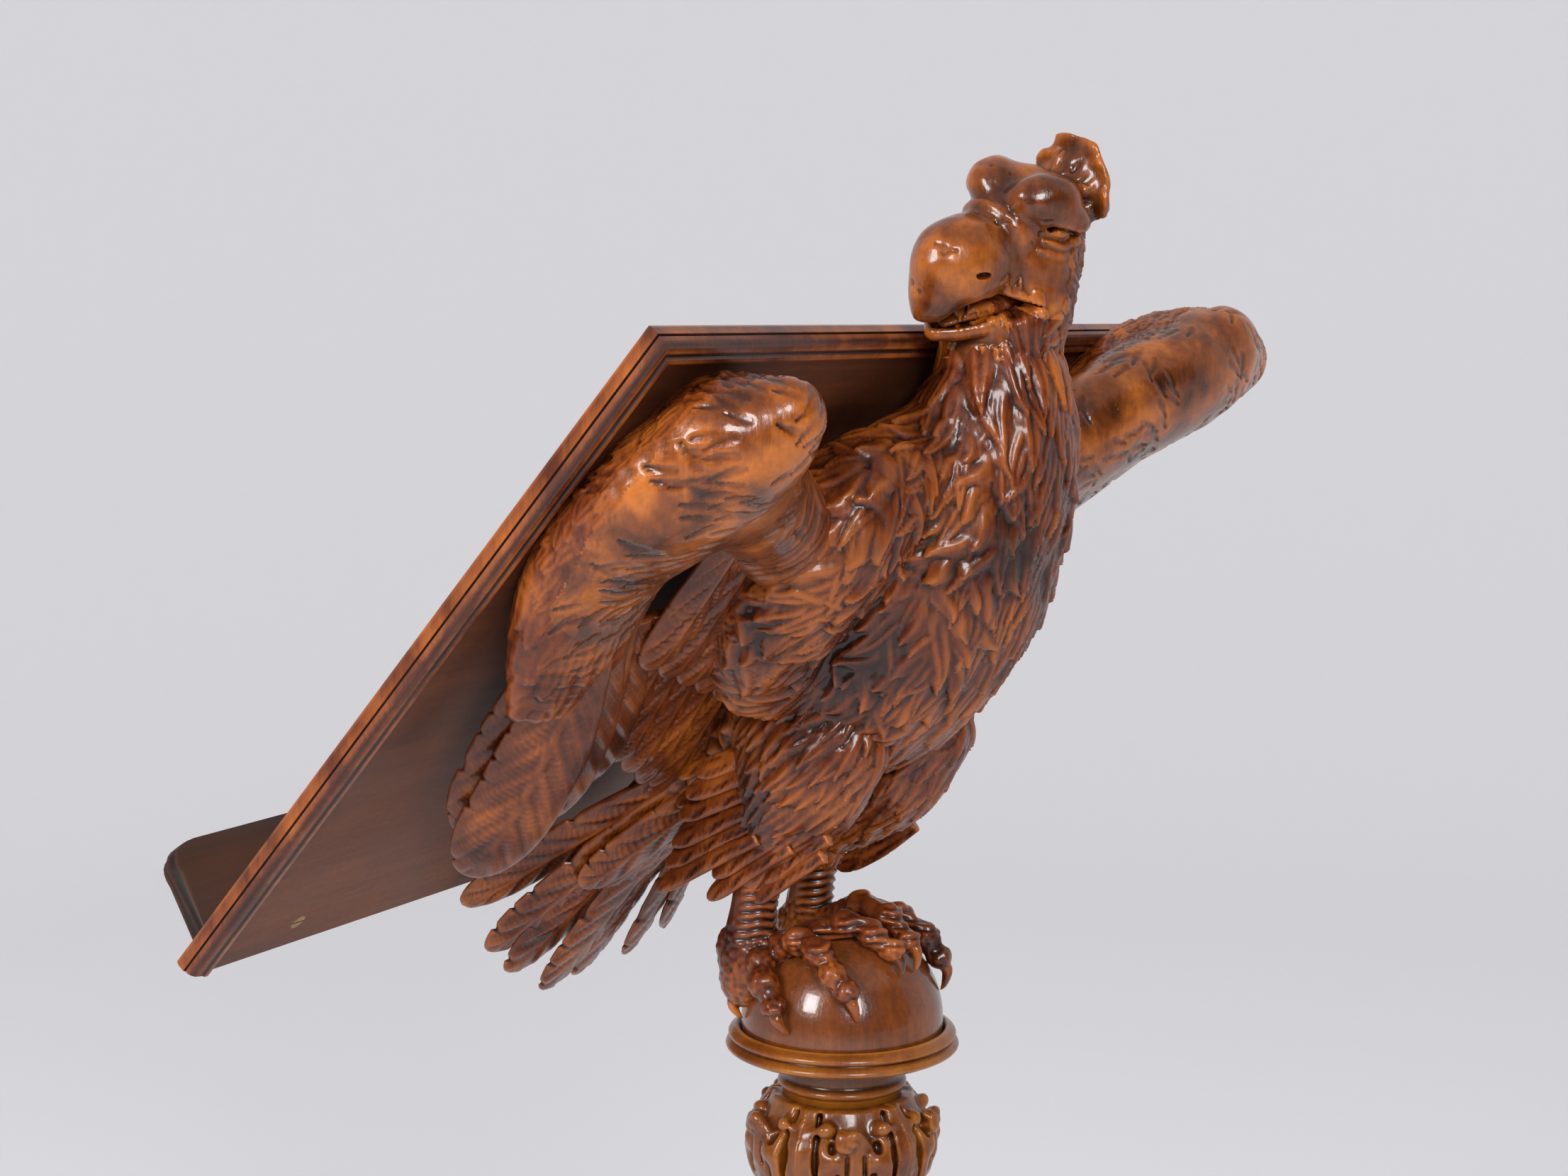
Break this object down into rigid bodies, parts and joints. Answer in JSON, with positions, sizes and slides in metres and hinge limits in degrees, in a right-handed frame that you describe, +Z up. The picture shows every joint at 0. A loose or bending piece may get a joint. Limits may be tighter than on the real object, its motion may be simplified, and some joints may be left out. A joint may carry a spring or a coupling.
{
  "type": "eagle lectern",
  "caption": "Carved wooden eagle lectern: an eagle on a ball carries a sloping book desk on its wings and turns on a turned column with a tripod foot.",
  "frame": {"origin": "on the floor, under the middle of the column", "axes": "+Z up, +Y towards the reader, the eagle looks along -Y and its right wing is at -X"},
  "size_m": [0.65, 0.5503, 1.548],
  "materials": {
    "carved_walnut": "glossy varnished carving, dark wax in the cuts",
    "turned_walnut": "glossy varnished turning",
    "ball_walnut": "dark glossy varnish",
    "desk_walnut": "satin brown stain",
    "moulding_walnut": "satin varnish, worn edges",
    "beech_dowel": "plain",
    "brass": "dull",
    "steel": "turned",
    "iron_rod": "black"
  },
  "bodies": {
    "stand": {"front_leg": "carved_walnut", "rear_left_leg": "carved_walnut", "rear_right_leg": "carved_walnut", "leg_dowels": "beech_dowel", "hub": "turned_walnut", "pendant": "turned_walnut", "baluster": "turned_walnut", "shaft": "turned_walnut", "knop": "turned_walnut", "collar": "turned_walnut", "swivel_bush": "brass", "bearing_washer": "brass"},
    "eagle_top": {"swivel_pin": "steel", "ball": "ball_walnut", "right_foot": "carved_walnut", "left_foot": "carved_walnut", "right_leg_rod": "iron_rod", "left_leg_rod": "iron_rod", "right_thigh": "carved_walnut", "left_thigh": "carved_walnut", "trunk": "carved_walnut", "neck_and_head": "carved_walnut", "neck_dowel": "beech_dowel", "tail": "carved_walnut", "tail_dowels": "beech_dowel", "right_wing": "carved_walnut", "left_wing": "carved_walnut", "right_wing_dowels": "beech_dowel", "left_wing_dowels": "beech_dowel", "right_primaries": "carved_walnut", "left_primaries": "carved_walnut", "right_secondaries": "carved_walnut", "left_secondaries": "carved_walnut", "back_block": "desk_walnut", "desk_panel": "desk_walnut", "desk_top_moulding": "moulding_walnut", "desk_right_moulding": "moulding_walnut", "desk_left_moulding": "moulding_walnut", "book_ledge": "moulding_walnut", "ledge_screws": "brass", "desk_screws": "brass"}
  },
  "joints": [
    {"name": "top_swivel", "type": "hinge", "parent": "stand", "child": "eagle_top", "pos_m": [0, 0, 1], "axis": [0, 0, 1], "continuous": true}
  ]
}
